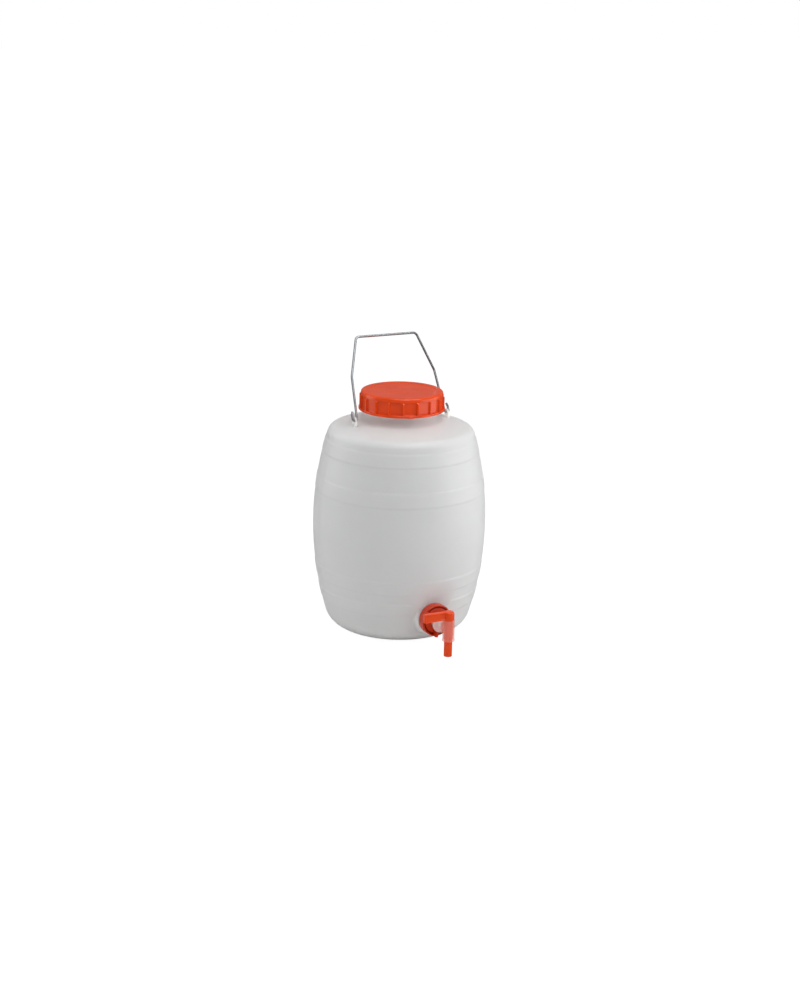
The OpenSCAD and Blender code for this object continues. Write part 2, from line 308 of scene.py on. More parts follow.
def vary_number(material, shader, socket, pattern, low, high):
    node = material.node_tree.nodes.new("ShaderNodeMapRange")
    node.inputs["From Min"].default_value, node.inputs["From Max"].default_value = 0.3, 0.7
    node.inputs["To Min"].default_value, node.inputs["To Max"].default_value = low, high
    material.node_tree.links.new(pattern, node.inputs["Value"])
    material.node_tree.links.new(node.outputs["Result"], shader.inputs[socket])


def vary_colour(material, shader, pattern, one, other):
    node = material.node_tree.nodes.new("ShaderNodeValToRGB")
    node.color_ramp.elements[0].position, node.color_ramp.elements[1].position = 0.3, 0.7
    node.color_ramp.elements[0].color, node.color_ramp.elements[1].color = (*one, 1), (*other, 1)
    material.node_tree.links.new(pattern, node.inputs["Fac"])
    material.node_tree.links.new(node.outputs["Color"], shader.inputs["Base Color"])


def ripple(material, shader, *waves):
    """Bumps from the coarsest to the finest. Each wave is (pattern, depth in metres)."""
    normal = None
    for pattern, depth in waves:
        bump = material.node_tree.nodes.new("ShaderNodeBump")
        bump.inputs["Strength"].default_value = 1
        bump.inputs["Distance"].default_value = depth
        material.node_tree.links.new(pattern, bump.inputs["Height"])
        if normal:
            material.node_tree.links.new(normal, bump.inputs["Normal"])
        normal = bump.outputs["Normal"]
    material.node_tree.links.new(normal, shader.inputs["Normal"])


print("one shader per finish")


# %% Natural polyethylene, milky
def milky_polyethylene():
    material, shader = plain_finish("milky_polyethylene", {
        "IOR": 1.52, "Subsurface Weight": 0.75, "Subsurface Scale": 0.016,
        "Subsurface Radius": (1.0, 0.98, 0.9), "Specular IOR Level": 0.42})
    vary_colour(material, shader, noise(material, 14), (0.885, 0.888, 0.848), (0.91, 0.913, 0.873))
    vary_number(material, shader, "Roughness", noise(material, 60), 0.34, 0.42)
    ripple(material, shader,
           (noise(material, 16, 1.0, (1, 1, 0.5)), 0.0012),
           (noise(material, 420, 2.0), 0.00003))
    return material


milky = milky_polyethylene()
print(milky.name)


# %% Orange polyethylene, glossy
def orange_polyethylene(name, one, other):
    material, shader = plain_finish(name, {"IOR": 1.52, "Specular IOR Level": 0.5})
    vary_colour(material, shader, noise(material, 45), one, other)
    vary_number(material, shader, "Roughness", noise(material, 110), 0.18, 0.26)
    ripple(material, shader,
           (noise(material, 70, 1.0), 0.0001),
           (noise(material, 900, 2.0), 0.00001))
    return material


orange = orange_polyethylene("orange_polyethylene", (0.70, 0.052, 0.002), (0.77, 0.062, 0.003))
# painted shade: the nut wears a darker copy of the lid's orange, for the shade that the lever and the
# plug's head cast on it
nut_orange_painted_shade = orange_polyethylene("nut_orange_painted_shade", (0.48, 0.026, 0.002), (0.55, 0.034, 0.003))
print(orange.name, nut_orange_painted_shade.name)


# %% Natural polyethylene, clear enough to see the plug through, with the plug's light painted in
def clear_polyethylene(plug_y, bore, near, far):
    """Thin milky plastic. Close to the plug's axis its colour is painted with the plug's orange,
    as painted light for the light that the plug sends back, which spreads in the wall."""
    material, shader = plain_finish("clear_polyethylene", {
        "IOR": 1.5, "Specular IOR Level": 0.45})
    nodes, links = material.node_tree.nodes, material.node_tree.links
    where = nodes.new("ShaderNodeTexCoord")
    flat = nodes.new("ShaderNodeVectorMath")
    flat.operation = "MULTIPLY_ADD"
    flat.inputs[1].default_value, flat.inputs[2].default_value = (1, 1, 0), (0, -plug_y, 0)
    off_axis = nodes.new("ShaderNodeVectorMath")
    off_axis.operation = "LENGTH"
    share = nodes.new("ShaderNodeMapRange")
    share.interpolation_type = "SMOOTHSTEP"
    share.inputs["From Min"].default_value = near + 1 * mm
    share.inputs["From Max"].default_value = far
    # painted light: salmon red on the plug's axis to pale pink farther out, the plug's colour seen
    # through the wall
    painted_plug_light = nodes.new("ShaderNodeValToRGB")
    painted_plug_light.color_ramp.elements[0].color = (0.90, 0.27, 0.21, 1)
    painted_plug_light.color_ramp.elements[1].color = (0.94, 0.72, 0.69, 1)
    cover = nodes.new("ShaderNodeMapRange")
    cover.inputs["From Min"].default_value, cover.inputs["From Max"].default_value = bore, near
    cover.inputs["To Min"].default_value, cover.inputs["To Max"].default_value = 0.06, 0.5
    links.new(off_axis.outputs["Value"], cover.inputs["Value"])
    links.new(cover.outputs["Result"], shader.inputs["Alpha"])
    links.new(where.outputs["Object"], flat.inputs[0])
    links.new(flat.outputs["Vector"], off_axis.inputs[0])
    links.new(off_axis.outputs["Value"], share.inputs["Value"])
    links.new(share.outputs["Result"], painted_plug_light.inputs["Fac"])
    links.new(painted_plug_light.outputs["Color"], shader.inputs["Base Color"])
    vary_number(material, shader, "Roughness", noise(material, 160), 0.26, 0.36)
    ripple(material, shader, (noise(material, 130, 1.0), 0.0001))
    return material


clear = clear_polyethylene(plug_y=-151 * mm, bore=6.3 * mm, near=7.5 * mm, far=13 * mm)
print(clear.name)


# %% Zinc-plated wire and the two seals
def zinc_wire():
    material, shader = plain_finish("zinc_wire", {"Metallic": 1.0, "Specular IOR Level": 0.5})
    vary_colour(material, shader, noise(material, 90), (0.36, 0.38, 0.40), (0.50, 0.52, 0.54))
    vary_number(material, shader, "Roughness", noise(material, 300), 0.26, 0.38)
    ripple(material, shader, (noise(material, 700, 3.0, (1, 0.25, 0.25)), 0.000006))
    return material


def foam_seal():
    material, shader = plain_finish("foam_seal", {"IOR": 1.45, "Specular IOR Level": 0.3})
    vary_colour(material, shader, noise(material, 300), (0.60, 0.60, 0.58), (0.70, 0.70, 0.68))
    vary_number(material, shader, "Roughness", noise(material, 200), 0.7, 0.85)
    ripple(material, shader, (noise(material, 2600, 4.0), 0.00005))
    return material


zinc, foam = zinc_wire(), foam_seal()
print(zinc.name, foam.name)


# %% Give a piece its finish and its body
def dress(piece, material, body, slot, *nodes):
    """The finish, the body it rides on, the record's slot (not used), and the nodes it stands for."""
    piece.data.materials.clear()
    piece.data.materials.append(material)
    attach(piece, body)
    if nodes:
        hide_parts(*nodes)
    print(f"{piece.name}: {len(piece.data.polygons)} faces on {body}")
    return piece


for node in ("lid_gasket", "tap_gasket"):
    seal = frame["nodes"][node]
    seal.data.materials.clear()
    seal.data.materials.append(foam)
    print(node, "wears", foam.name)

# %% [markdown]
# ## The barrel
# A blown barrel is one skin. Its side is a long arc, with four low hoops, a round corner
# to the base and a round edge to the shoulder. The profile below follows that geometry
# with arcs and a soft step for each hoop's edge. It is turned about the axis, once for the
# outside and once, moved in by the wall, for the inside, so the barrel is really hollow.

# %% The barrel's driving sizes
low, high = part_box("barrel")
barrel_r = high.x
neck_top = high.z
belly_curve, belly_height = 436 * mm, 146 * mm
corner_r, edge_r = 30 * mm, 13 * mm
shoulder_fall = math.radians(14)
shoulder_z = 290 * mm
wall, neck_wall = 2.2 * mm, 3.2 * mm
neck_r = 48.6 * mm
neck_fillet = 11 * mm
rim_round = 0.9 * mm
base_hollow = 4 * mm
foot_width, foot_slope = 12 * mm, 6 * mm
hoops = np.array([(42.5, 60), (75, 93), (195, 214.5), (247, 264)]) * mm
hoop_rise, hoop_edge = 0.6 * mm, 3.2 * mm
print(f"barrel {2 * barrel_r / mm:.0f} mm wide, neck rim at {neck_top / mm:.1f} mm")

# %% Where the arcs of its side meet
belly_c = np.array([barrel_r - belly_curve, belly_height])
corner_x = belly_c[0] + math.sqrt((belly_curve - corner_r) ** 2 - (belly_height - corner_r) ** 2)
corner_turn = -math.degrees(math.asin((belly_height - corner_r) / (belly_curve - corner_r)))
cone_n = np.array([math.sin(shoulder_fall), math.cos(shoulder_fall)])
cone_u = np.array([math.cos(shoulder_fall), -math.sin(shoulder_fall)])
cone_k = cone_n @ (neck_r, shoulder_z)
edge_d = cone_k - edge_r - cone_n @ belly_c
edge_c = belly_c + cone_n * edge_d + cone_u * math.sqrt((belly_curve - edge_r) ** 2 - edge_d ** 2)
edge_turn = math.degrees(math.asin((edge_c[1] - belly_height) / (belly_curve - edge_r)))
root_x = neck_r + neck_fillet
root_c = np.array([root_x, (cone_k + neck_fillet - cone_n[0] * root_x) / cone_n[1]])
fall_turn = math.degrees(shoulder_fall)
print(f"corner meets the belly at {corner_turn:.1f} degrees, the shoulder's edge at {edge_turn:.1f}")


# %% The side's profile
def belly(z, lift):
    """Radius of the side at each height, with the hoops, moved out by lift."""
    rise = 0 * z
    for bottom, top in hoops:
        rise += smooth_step((z - bottom) / hoop_edge + 0.5) - smooth_step((z - top) / hoop_edge + 0.5)
    curve = belly_curve + lift + hoop_rise * rise
    return belly_c[0] + np.sqrt(curve ** 2 - (z - belly_height) ** 2)


def levels(start, end, coarse, fine, fine_to):
    """Heights close together up to fine_to and at each hoop's edges, and wider elsewhere."""
    near = [edge + np.linspace(-0.7, 0.7, 7) * hoop_edge for edge in hoops.ravel()]
    all_z = np.concatenate([np.arange(start, fine_to, fine), np.arange(fine_to, end, coarse), *near])
    all_z = np.unique(np.round(all_z, 5))
    return all_z[(all_z > start + fine / 3) & (all_z < end - fine / 3)]


def side(lift, corner_steps, coarse, fine, fine_to):
    """From the floor's edge to the neck's root, moved out by lift, as (radius, height) points."""
    corner = arc((corner_x, corner_r), corner_r + lift, -90, corner_turn, corner_steps)
    edge = arc(edge_c, edge_r + lift, edge_turn, 90 - fall_turn, corner_steps // 2 + 2)
    z = levels(corner[-1, 1], edge[0, 1], coarse, fine, fine_to)
    root = arc(root_c, neck_fillet - lift, 270 - fall_turn, 180, 10)
    cone = edge[-1] + (root[0] - edge[-1]) * np.linspace(0.15, 0.85, 5)[:, None]
    return np.concatenate([corner, np.stack([belly(z, lift), z], 1), edge, cone, root])


def base(lift):
    """The hollow base, from the axis to the floor's edge."""
    inner = corner_x - foot_width
    corners = [(0, base_hollow - lift), (inner - foot_slope, base_hollow - lift),
               (inner - lift / 2, -lift), (corner_x, -lift)]
    return rounded(corners, 5 * mm, 4)[:-1]


fine_to = 74 * mm
outside = side(0, 26, 4 * mm, 1 * mm, fine_to)
inside = side(-wall, 10, 14 * mm, 4 * mm, fine_to)
print(len(outside), "rings outside,", len(inside), "inside")

# %% [markdown]
# ## The seat of the tap
# The tap screws on a spout that stands on a flat, round seat. The mould presses the seat
# into the side's upper part and lets it stand proud near the floor. On a grid of points
# that is one rule: near the tap's axis a point moves along Y to the seat's plane, and the
# share it moves fades out over the width of the seat's soft edge. The columns of the grid
# stand closer together on that side, and at the mould's parting line.

# %% Press the seat and raise the parting line
tap_z = 39.5 * mm
seat_y = 106 * mm
seat_r, seat_margin = 22.5 * mm, 1 * mm
proud_edge, sunk_edge = 4 * mm, 34 * mm
front_y = -60 * mm
seam_rise, seam_width = 0.22 * mm, 0.5 * mm
seam_from, seam_fade = 52 * mm, 6 * mm


def press_seat(points, depth):
    """Moves points of a skin that lies depth inside the outside onto the flat seat."""
    x, y, z = points[..., 0], points[..., 1], points[..., 2]
    plane = depth - seat_y
    off_axis = np.hypot(x, z - tap_z)
    proud = 1 - smooth_step((off_axis - seat_r + depth) / proud_edge)
    sunk = 1 - smooth_step((off_axis - seat_r - seat_margin - depth) / sunk_edge)
    share = np.where(y > plane, proud, sunk) * (y < front_y)
    points[..., 1] = y + share * (plane - y)
    return points


def raise_seam(points):
    """The parting line runs up both sides, in the plane of the handle's lugs."""
    x, y, z = points[..., 0], points[..., 1], points[..., 2]
    r = np.hypot(x, y)
    share = np.exp(-(y / seam_width) ** 2) * smooth_step((r - seam_from) / seam_fade)
    points[..., :2] *= (1 + seam_rise * share / np.maximum(r, 1 * mm))[..., None]
    return points


tap_turn, tap_reach = 270, 18
tap_side = tap_turn + np.arange(-tap_reach, tap_reach + 0.01, 0.5)
across_seam = np.array([-0.5, -0.3, -0.18, -0.08, 0, 0.08, 0.18, 0.3, 0.5])
seams = np.concatenate([turn + across_seam for turn in (0, 180)]) % 360
plain = np.arange(0, 360, 1.8)
clear_of_seam = np.abs((plain + 90) % 180 - 90) > 0.6
clear_of_tap = np.abs(plain - tap_turn) > tap_reach + 0.5
columns = np.concatenate([plain[clear_of_seam & clear_of_tap], tap_side, seams])
columns = np.radians(np.unique(np.round(columns, 3)))
print(len(columns), "columns round the barrel")


# %% The barrel's skin, out and in
def ring_points(profile):
    r, z = profile[:, :1], profile[:, 1:]
    return np.stack([r * np.cos(columns), r * np.sin(columns), z + 0 * columns], 2)


neck = rounded([(neck_r, root_c[1] + 2 * mm), (neck_r, neck_top), (neck_r - neck_wall, neck_top),
                (neck_r - neck_wall, root_c[1] + 4 * mm)], rim_round, 4)
outer = raise_seam(press_seat(ring_points(np.concatenate([base(0), outside])), 0))
inner = press_seat(ring_points(np.concatenate([base(-wall), inside])), wall)
barrel = surface("barrel_skin", np.concatenate([outer, ring_points(neck), inner[::-1]]), "pole")
dress(barrel, milky, "barrel", "natural_polyethylene", "barrel")


# %% [markdown]
# ## Spout, lugs and neck thread
# They are one piece with the barrel on the real object. Here they are meshes of their own
# that stand a little way inside its wall, which keeps each of them simple. A thread is a
# ridge with a flat crest, swept along a helix, that grows and fades at its two ends.

# %% A thread ridge
def thread_ridge(name, radius, height, width, pitch, start_z, start, turns, inward=False):
    """A ridge on a wall of the given radius. Its root lies a little way inside the wall."""
    way = -1 if inward else 1
    root = -0.4 * mm
    section = [(root, -width / 2), (height, -width / 5), (height, width / 5), (root, width / 2)]
    section = rounded(section, [0, width / 8, width / 8, 0], 3, True)
    t = np.linspace(0, turns * 2 * math.pi, int(turns * 96) + 1)
    grown = smooth_step(np.minimum(t, t[-1] - t) / math.radians(16))
    rings = []
    for angle, share in zip(t, grown):
        rise = np.where(section[:, 0] > 0, section[:, 0] * (0.04 + 0.96 * share), section[:, 0])
        r = radius + way * rise
        z = start_z + pitch * angle / (2 * math.pi) + section[:, 1]
        rings.append(np.stack([r * math.cos(start + angle), r * math.sin(start + angle), z], 1))
    return surface(name, rings, "cap")


lid_pitch, neck_thread_z = 6 * mm, 307.5 * mm
thread_start = math.radians(-90 - 14.3)
neck_thread = thread_ridge("neck_thread", neck_r, 1.5 * mm, 2.6 * mm, lid_pitch,
                           neck_thread_z, thread_start, 1.6)
dress(neck_thread, milky, "barrel", "natural_polyethylene")

# %% The spout and its thread
quarter_turn = math.radians(90)
tap_axis = Matrix.Translation((0, 0, tap_z)) @ Matrix.Rotation(quarter_turn, 4, "X")
spout_r, spout_bore, spout_l = 15.2 * mm, 10 * mm, 6.4 * mm
spout_end = seat_y + spout_l
spout = turned("spout", rounded(
    [(spout_bore, seat_y - wall - 0.6 * mm), (spout_r, seat_y - wall - 0.6 * mm),
     (spout_r, spout_end), (spout_bore, spout_end)], 0.5 * mm, 4, True), "loop")
dress(on_axis(spout, tap_axis), milky, "barrel", "natural_polyethylene")
nut_pitch = 3 * mm
spout_thread_y = seat_y + 2.2 * mm
spout_thread = thread_ridge("spout_thread", spout_r, 0.55 * mm, 1.3 * mm, nut_pitch,
                            spout_thread_y, 0, 1.1)
dress(on_axis(spout_thread, tap_axis), milky, "barrel", "natural_polyethylene")

# %% The two lugs
lug_x, lug_z = 69 * mm, 292 * mm
lug_t, lug_r, lug_hole = 2.2 * mm, 4.6 * mm, 2.2 * mm
lug_foot_w, lug_foot_z = 5 * mm, -9.5 * mm
lug_edge, lug_swell = 0.5 * mm, 0.9 * mm


def lug(name, side):
    """A pierced plate. Its rings run from the hole over one face, round the rim and back."""
    crown = arc((0, 0), lug_r, 10, 170, 12)
    foot = np.array([crown[-1], (-lug_foot_w, lug_foot_z), (lug_foot_w, lug_foot_z), crown[0]])
    run = [foot[i] + (foot[i + 1] - foot[i]) * t for i in range(3) for t in np.linspace(0, 1, 7)[:-1]]
    outline = np.concatenate([crown, run[1:]])
    far = np.linalg.norm(outline, axis=1)
    unit = outline / far[:, None]
    thick = lug_t / 2 + lug_swell * smooth_step((-outline[:, 1] - 2 * mm) / (6 * mm))
    thin = thick * 0 + lug_t / 2
    hole = far * 0 + lug_hole
    stations = [(hole, lug_edge - thin), (hole + lug_edge, -thin),
                (far - lug_edge, -thick), (far, lug_edge - thick)]
    stations += [(r, -x) for r, x in reversed(stations)]
    rings = [np.stack([side * lug_x + x, unit[:, 0] * r, lug_z + unit[:, 1] * r], 1) for r, x in stations]
    return surface(name, rings, "loop")


for name, side_x in (("lug_right", 1), ("lug_left", -1)):
    dress(lug(name, side_x), milky, "barrel", "natural_polyethylene")

# %% [markdown]
# ## The lid
# The lid is turned too, but its skirt isn't round: eighteen ribs stand between flat
# panels. A grid copes with that, if the radius depends on both height and angle. The
# columns crowd together at each rib's flanks, where the shape changes fast, and the
# panels need only a few.

# %% The lid's driving sizes
low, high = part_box("lid")
lid_top, flange_r = high.z, high.x
lid_bottom = lid_top - 25.6 * mm
rib_count = 18
rib_r, band_r, panel_r, lid_inner_r = 57.6 * mm, 55.4 * mm, 54 * mm, 51.4 * mm
rib_half, rib_flank = 1.05 * mm, 0.9 * mm
lid_plate = 3 * mm
flange_h = 3.2 * mm
band_bottom = lid_top - 5.5 * mm
top_round = 3 * mm
well_r, well_depth = 46 * mm, 0.7 * mm
ring_out, ring_in, ring_h = 44.2 * mm, 42.4 * mm, 5 * mm
nose_turn, nose_half, nose_rise = thread_start, 4.5 * mm, 1.4 * mm
rib_turn = math.radians(5.7)
print(f"lid {2 * flange_r / mm:.1f} mm over its flange, {(lid_top - lid_bottom) / mm:.1f} mm high")


# %% Ribs and panels as a radius of angle and height
def rib_share(angle):
    """1 on a rib's crest, 0 on a panel, with a short soft flank between them."""
    pitch = 2 * math.pi / rib_count
    off = np.abs((angle - rib_turn + pitch / 2) % pitch - pitch / 2) * rib_r
    return 1 - smooth_step((off - rib_half) / rib_flank)


def panel_radius(angle):
    """A flat panel between two ribs: its distance from the axis grows towards its corners."""
    pitch = 2 * math.pi / rib_count
    return panel_r / np.cos((angle - rib_turn) % pitch - pitch / 2)


def skirt_radius(angle, z):
    crest = np.minimum(rib_r, band_r - 0.6 * mm + (band_bottom + 0.6 * mm - z) * 1.3)
    flat = np.minimum(panel_radius(angle), band_r)
    foot = smooth_step((lid_bottom + flange_h + 1.0 * mm - z) / (1.0 * mm)) * 0.5 * mm
    return flat + foot + (np.maximum(crest, flat) - flat) * rib_share(angle)


flank = np.concatenate([np.linspace(-2.3, -0.8, 7), [0], np.linspace(0.8, 2.3, 7)])
panel = np.linspace(2.3, 17.7, 7)[1:-1]
lid_angles = rib_turn + np.radians(np.sort(np.concatenate(
    [i * 360 / rib_count + np.concatenate([flank, panel]) for i in range(rib_count)])))
print(len(lid_angles), "columns round the lid")

# %% The lid's shell
gate_r, gate_h, mark_r = 1.6 * mm, 0.35 * mm, 21 * mm
top_z, plate_z = lid_top - well_depth, lid_top - lid_plate
lid_over = rounded(
    [(0, top_z + gate_h), (gate_r, top_z + gate_h), (gate_r + 0.4 * mm, top_z),
     (mark_r, top_z), (mark_r + 0.5 * mm, top_z - 0.25 * mm), (mark_r + 1 * mm, top_z),
     (well_r, top_z), (well_r + 0.9 * mm, lid_top), (band_r, lid_top), (band_r, band_bottom)],
    [0.2 * mm, 0.3 * mm, 0.3 * mm, 0.3 * mm, 0.3 * mm, 0.5 * mm, 0.5 * mm, top_round], 5)
skirt_z = np.concatenate([
    np.linspace(band_bottom - 0.25 * mm, band_bottom - 2.2 * mm, 6),
    np.linspace(band_bottom - 4 * mm, lid_bottom + flange_h + 2 * mm, 5),
    np.linspace(lid_bottom + flange_h + 1 * mm, lid_bottom + flange_h, 4)])
lid_under = rounded(
    [(panel_r + 1 * mm, lid_bottom + flange_h), (flange_r, lid_bottom + flange_h),
     (flange_r, lid_bottom), (lid_inner_r, lid_bottom), (lid_inner_r, plate_z),
     (ring_out, plate_z), (ring_out, plate_z - ring_h), (ring_in, plate_z - ring_h),
     (ring_in, plate_z), (0, plate_z)],
    [0.8 * mm, 0.7 * mm, 0.4 * mm, 0.8 * mm, 0.4 * mm, 0.5 * mm, 0.5 * mm, 0.4 * mm], 4)[1:]


def lid_ring(r, z):
    r = np.broadcast_to(r, lid_angles.shape)
    return np.stack([r * np.cos(lid_angles), r * np.sin(lid_angles), np.full(r.shape, z)], 1)


rings = [lid_ring(r, z) for r, z in lid_over]
rings += [lid_ring(skirt_radius(lid_angles, z), z) for z in skirt_z]
for r, z in lid_under:
    off = np.abs((lid_angles - nose_turn + math.pi) % (2 * math.pi) - math.pi) * flange_r
    nose = nose_rise * (1 - smooth_step((off - nose_half + 0.6 * mm) / (1.2 * mm)))
    below_edge = z < lid_bottom + flange_h - 0.9 * mm
    on_flange = smooth_step((r - flange_r + 1.6 * mm) / (1.4 * mm)) * below_edge
    rings.append(lid_ring(r + nose * on_flange, z))
lid = surface("lid_shell", rings, "pole")
dress(lid, orange, "lid", "orange_polyethylene", "lid")

# %% The thread inside the lid
lid_thread = thread_ridge("lid_thread", lid_inner_r, 1.4 * mm, 2.4 * mm, lid_pitch,
                          neck_thread_z - lid_pitch / 2, thread_start, 1.4, inward=True)
dress(lid_thread, orange, "lid", "orange_polyethylene")

# %% [markdown]
# ## The handle
# One length of wire makes the handle. It is bent in a single plane: hooks at both ends
# that pass through the lugs, two legs with a slight knee, and a straight grip bar. So its
# path is a flat polyline with an arc at each bend, and a circle is swept along it.

# %% The wire's path
wire_r = 1.6 * mm
hook_gap, hook_r, hook_l, hook_rise, hook_pinch = 5.8 * mm, 2.4 * mm, 12.5 * mm, 8 * mm, 1.4 * mm
knee_half, knee_reach = 62 * mm, 60 * mm
grip_half, handle_reach = 45 * mm, 114 * mm
handle_lean = math.radians(27)
near_x, far_x = lug_x - hook_gap / 2, lug_x + hook_gap / 2
half = [(far_x - hook_pinch, hook_l), (far_x, hook_rise), (far_x, 0), (near_x, 0),
        (knee_half, knee_reach), (grip_half, handle_reach)]
bends = [4 * mm, hook_r, hook_r, 12 * mm, 6 * mm]
corners = half + [(-x, y) for x, y in reversed(half)]
path = rounded(corners, bends + bends[::-1], 8)
print(f"wire {np.linalg.norm(np.diff(path, axis=0), axis=1).sum() / mm:.0f} mm long, {len(path)} points")


# %% Sweep the wire
def wire_sweep(name, path, radius, place, around=20):
    """A round wire along a flat path, with softly cut ends."""
    ahead = np.gradient(path, axis=0)
    ahead /= np.linalg.norm(ahead, axis=1)[:, None]
    cut = 0.35 * mm
    stations = [(path[0], ahead[0], radius - cut), (path[0] + ahead[0] * cut, ahead[0], radius)]
    stations += [(p, a, radius) for p, a in zip(path[1:-1], ahead[1:-1])]
    stations += [(path[-1] - ahead[-1] * cut, ahead[-1], radius), (path[-1], ahead[-1], radius - cut)]
    turn = full_turn(around)
    rings = []
    for (x, y), (ax, ay), r in stations:
        circle = [(r * math.cos(a), r * math.sin(a)) for a in turn]
        rings.append([place @ Vector((x - ay * out, y + ax * out, up)) for out, up in circle])
    return surface(name, rings, "cap")


handle_plane = Matrix.Translation((0, 0, lug_z)) @ Matrix.Rotation(quarter_turn - handle_lean, 4, "X")
handle = wire_sweep("handle_wire", path, wire_r, handle_plane)
dress(handle, zinc, "handle", "galvanised_wire", "handle")

# %% [markdown]
# ## The tap
# The tap has three mouldings. The body is a collar and tail along the tap's own axis, and
# an upright sleeve. The plug turns in the sleeve and ends in the hose nozzle. The union
# nut slips over the tail and pulls the collar against the spout. Each is turned, and what
# crosses another axis is joined or cut with a boolean, so that the clear body is one wall
# without faces inside it.

# %% The tap's body
sleeve_y = 151 * mm
collar_y = spout_end + 1.6 * mm
collar_t, collar_r, tail_r, tail_bore = 2.4 * mm, 14.5 * mm, 8.2 * mm, 6 * mm
sleeve_low, sleeve_high, sleeve_r, sleeve_flare = 22.5 * mm, 51.5 * mm, 7.8 * mm, 0.5 * mm
plug_r, fit_gap = 5.8 * mm, 0.3 * mm
swell_y, swell_r = 127.2 * mm, 12.5 * mm
collar_end = collar_y + collar_t
past = 1 * mm
upright = Matrix.Translation((0, -sleeve_y, 0))

body = turned("tap_shell", rounded(
    [(0, collar_y), (collar_r, collar_y), (collar_r, collar_end), (tail_r, collar_end),
     (tail_r, swell_y), (swell_r, swell_y + 1.4 * mm), (swell_r, swell_y + 4.8 * mm),
     (tail_r, swell_y + 9 * mm), (tail_r, sleeve_y), (0, sleeve_y)],
    [0.4 * mm, 0.5 * mm, 1.2 * mm, 0.6 * mm, 1.2 * mm, 2.4 * mm, 2 * mm, 0], 4), "pole")
on_axis(body, tap_axis)
foot_r = sleeve_r + sleeve_flare
sleeve = turned("sleeve", rounded(
    [(0, sleeve_low), (foot_r, sleeve_low), (foot_r, sleeve_low + 1.6 * mm),
     (sleeve_r, sleeve_low + 3.4 * mm), (sleeve_r, sleeve_high), (0, sleeve_high)],
    [0.4 * mm, 0.8 * mm, 1.5 * mm, 0.5 * mm], 4), "pole")
body = combine(body, on_axis(sleeve, upright), "UNION")
bore = rod("bore", tail_bore, collar_y - past, sleeve_y)
body = combine(body, on_axis(bore, tap_axis), "DIFFERENCE")
bore = rod("bore", plug_r + fit_gap, sleeve_low - past, sleeve_high + past)
body = combine(body, on_axis(bore, upright), "DIFFERENCE")
dress(body, clear, "tap", "clear_polyethylene", "tap_body")

# %% The plug with its nozzle
low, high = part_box("tap_plug")
nozzle_tip, head_top = low.z, high.z
nozzle_r, plug_bore, head_r = 5.45 * mm, 3.7 * mm, 7.1 * mm
head_low = sleeve_high + fit_gap
plug = turned("plug_and_lever", rounded(
    [(0, tap_z + plug_bore), (plug_bore, tap_z + plug_bore), (plug_bore, nozzle_tip),
     (nozzle_r, nozzle_tip), (nozzle_r, sleeve_low + 0.5 * mm), (plug_r, sleeve_low + 1.2 * mm),
     (plug_r, head_low), (head_r, head_low), (head_r, head_top), (0, head_top)],
    [0, 0.4 * mm, 0.5 * mm, 0.2 * mm, 0.2 * mm, 0, 0.5 * mm, 4 * mm], 6), "pole")
on_axis(plug, upright)

# %% The lever, with a sunk panel on both sides
lever_l, lever_t, root_h, tip_h = 36.5 * mm, 6.4 * mm, 10.5 * mm, 12.2 * mm
lever_top = head_top - 0.4 * mm
border, panel_depth = 1.6 * mm, 0.9 * mm
soft, slight = 0.5 * mm, 0.15 * mm
lever_side = [(-lever_l, lever_top - tip_h), (-head_r / 2, lever_top - root_h),
              (-head_r / 2, lever_top), (-lever_l, lever_top)]
halfway = lever_t / 2
stations = [(border + 0.4 * mm, panel_depth), (border + 0.2 * mm, soft), (border, 0.1 * mm),
            (border - 0.2 * mm, 0), (soft, 0), (slight, slight), (0, soft)]
stations = [(amount, depth - halfway) for amount, depth in stations]
stations += [(amount, -height) for amount, height in reversed(stations)]
across = upright @ Matrix.Rotation(quarter_turn, 4, "X")
lever = plate("lever", lever_side, [1.4 * mm, 0.8 * mm, 0.8 * mm, 1.4 * mm], stations, across)
plug = combine(plug, lever, "UNION")
cross = rod("cross", plug_bore, 0, 2 * plug_r, full_turn(48))
through = Matrix.Translation((0, -sleeve_y, tap_z)) @ Matrix.Rotation(quarter_turn, 4, "Y")
plug = combine(plug, on_axis(cross, through), "DIFFERENCE")
dress(plug, orange, "tap_plug", "orange_polyethylene", "tap_plug")

# %% The union nut and its fins
nut_r, nut_hole, socket_r = 21.5 * mm, 9 * mm, 16 * mm
nut_back, nut_front = seat_y + 1.2 * mm, collar_end + 2.6 * mm
socket_end = collar_end + 0.1 * mm
dish_out, dish_in, dish_depth = nut_r - 2 * mm, 17.5 * mm, 4.5 * mm
dish_end = nut_front - dish_depth
fin_count, fin_first, fin_rise, fin_half = 3, math.radians(20), 7 * mm, 1.7 * mm
nut = turned("nut_and_fins", rounded(
    [(socket_r, nut_back), (nut_r, nut_back), (nut_r, nut_front), (dish_out, nut_front),
     (dish_out, dish_end), (dish_in, dish_end), (dish_in, nut_front),
     (nut_hole, nut_front), (nut_hole, socket_end), (socket_r, socket_end)],
    np.array([0.4, 0.6, 0.8, 0.5, 0.6, 0.6, 0.8, 0.5, 0.3, 0.3]) * mm, 4, True), "loop")
fin_in, fin_out, fin_root = nut_hole + 0.6 * mm, nut_r - 0.1 * mm, -dish_depth - 1 * mm
fin_side = [(fin_in, -1.5 * mm), (dish_in - 0.6 * mm, fin_root), (fin_out, fin_root),
            (fin_out, fin_rise), (nut_r - 5.5 * mm, fin_rise), (fin_in, 1.6 * mm)]
fin_radii = np.array([0.3, 0.3, 0.3, 1.4, 2.2, 1]) * mm
fin_stations = [(soft, -fin_half), (slight, slight - fin_half), (0, soft - fin_half)]
fin_stations += [(amount, -height) for amount, height in reversed(fin_stations)]
